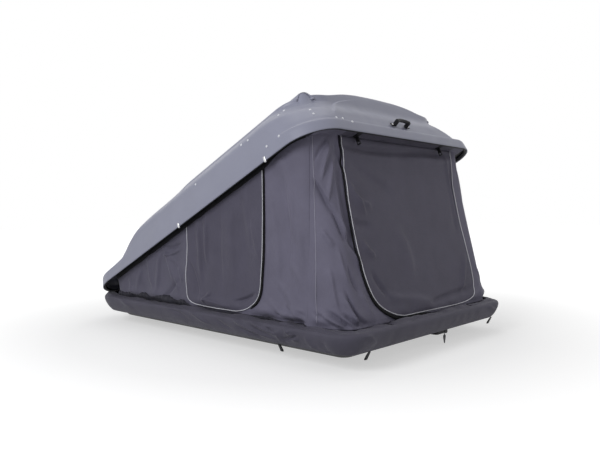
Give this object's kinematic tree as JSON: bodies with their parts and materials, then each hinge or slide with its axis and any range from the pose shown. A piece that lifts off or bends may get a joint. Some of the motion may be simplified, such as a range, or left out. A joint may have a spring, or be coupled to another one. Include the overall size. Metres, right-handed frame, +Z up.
{
  "type": "roof top tent",
  "caption": "Wedge roof top tent with a hinged moulded lid on gas struts, fabric walls with zipped doors, mattress tray, skirt and a key lock that throws rods into the lid.",
  "frame": {"origin": "middle of the four clamp slots, on the underside of the mounting rails", "axes": "+X towards the opening end, +Y towards the right side of the tent, +Z up"},
  "size_m": [2.0983, 1.416, 1.2265],
  "materials": {
    "tray_plastic": "moulded, fine grain",
    "lid_plastic": "satin moulded, light bluish grey",
    "plywood": "sanded board",
    "aluminium": "mill finish",
    "black_plastic": "fine grain",
    "bright_steel": "zinc plated",
    "bracket_steel": "zinc plated, dull",
    "black_enamel": "satin black",
    "rod_chrome": "polished",
    "key_metal": "dark",
    "seal_rubber": "soft black",
    "mattress_cover": "woven cover",
    "skirt_cloth": "coated canvas",
    "wall_cloth": "coated canvas, dark grey violet",
    "piping_cord": "light grey cord",
    "zip_tape": "black tape"
  },
  "bodies": {
    "base": {"base_tray": "tray_plastic", "floor_panel": "plywood", "cross_beams": "aluminium", "mounting_rail_left": "aluminium", "mounting_rail_right": "aluminium", "rail_end_caps": "black_plastic", "skirt_hooks": "black_plastic", "lock_housing": "black_plastic", "rod_guides": "black_plastic", "rail_bolts": "bright_steel", "hinge_pin_left": "bright_steel", "hinge_pin_right": "bright_steel", "hinge_base_leaf_left": "bracket_steel", "hinge_base_leaf_right": "bracket_steel", "strut_base_bracket_left": "bracket_steel", "strut_base_bracket_right": "bracket_steel", "mattress": "mattress_cover", "skirt": "skirt_cloth", "wall_left": "wall_cloth", "wall_right": "wall_cloth", "wall_front": "wall_cloth", "door_left": "wall_cloth", "door_right": "wall_cloth", "door_front": "wall_cloth", "piping_left": "piping_cord", "piping_right": "piping_cord", "piping_front": "piping_cord", "zip_left": "zip_tape", "zip_right": "zip_tape", "zip_front": "zip_tape"},
    "lid": {"lid_shell": "lid_plastic", "lid_seal": "seal_rubber", "fabric_rail": "black_plastic", "lid_handle": "black_plastic", "handle_screws": "bright_steel", "lid_catches": "black_plastic", "hinge_lid_leaf_left": "bracket_steel", "hinge_lid_leaf_right": "bracket_steel", "strut_lid_bracket_left": "bracket_steel", "strut_lid_bracket_right": "bracket_steel"},
    "strut_tube_left": {"strut_cylinder_left": "black_enamel"},
    "strut_tube_right": {"strut_cylinder_right": "black_enamel"},
    "strut_rod_left": {"strut_rod_left": "rod_chrome"},
    "strut_rod_right": {"strut_rod_right": "rod_chrome"},
    "lock": {"lock_plug": "rod_chrome", "key": "key_metal"},
    "rod_left": {"lock_rod_left": "bright_steel"},
    "rod_right": {"lock_rod_right": "bright_steel"}
  },
  "joints": [
    {"name": "lid_hinge", "type": "hinge", "parent": "base", "child": "lid", "pos_m": [-1.0025, 0, 0.1785], "axis": [0, 1, 0], "range_deg": [0, 24.2], "stiffness_Nm_per_rad": 100, "springref_deg": -171.89, "deforming": ["wall_left", "wall_right", "wall_front", "door_left", "door_right", "door_front", "piping_left", "piping_right", "piping_front", "zip_left", "zip_right", "zip_front"]},
    {"name": "strut_swing_left", "type": "hinge", "parent": "base", "child": "strut_tube_left", "pos_m": [-0.8025, -0.612, 0.1335], "axis": [0, 1, 0], "range_deg": [0, 30.5]},
    {"name": "strut_stroke_left", "type": "slide", "parent": "strut_tube_left", "child": "strut_rod_left", "axis": [0.7067, 0, 0.7075], "range_m": [-0.0595, 0]},
    {"name": "strut_swing_right", "type": "hinge", "parent": "base", "child": "strut_tube_right", "pos_m": [-0.8025, 0.612, 0.1335], "axis": [0, 1, 0], "range_deg": [0, 30.5]},
    {"name": "strut_stroke_right", "type": "slide", "parent": "strut_tube_right", "child": "strut_rod_right", "axis": [0.7067, 0, 0.7075], "range_m": [-0.0595, 0]},
    {"name": "key_turn", "type": "hinge", "parent": "base", "child": "lock", "pos_m": [0.965, 0.14, 0.06], "axis": [0, 0, 1], "range_deg": [0, 90]},
    {"name": "rod_slide_right", "type": "slide", "parent": "base", "child": "rod_right", "axis": [0, 1, 0], "range_m": [0, 0.0228]},
    {"name": "rod_slide_left", "type": "slide", "parent": "base", "child": "rod_left", "axis": [0, -1, 0], "range_m": [0, 0.0228]}
  ],
  "couplings": [
    {"joint": "strut_swing_left", "follows": "lid_hinge", "ratio": 1.2508},
    {"joint": "strut_stroke_left", "follows": "lid_hinge", "m_per_rad": -0.1378},
    {"joint": "strut_swing_right", "follows": "lid_hinge", "ratio": 1.2508},
    {"joint": "strut_stroke_right", "follows": "lid_hinge", "m_per_rad": -0.1378},
    {"joint": "rod_slide_right", "follows": "key_turn", "m_per_rad": 0.0144},
    {"joint": "rod_slide_left", "follows": "key_turn", "m_per_rad": 0.0144}
  ]
}
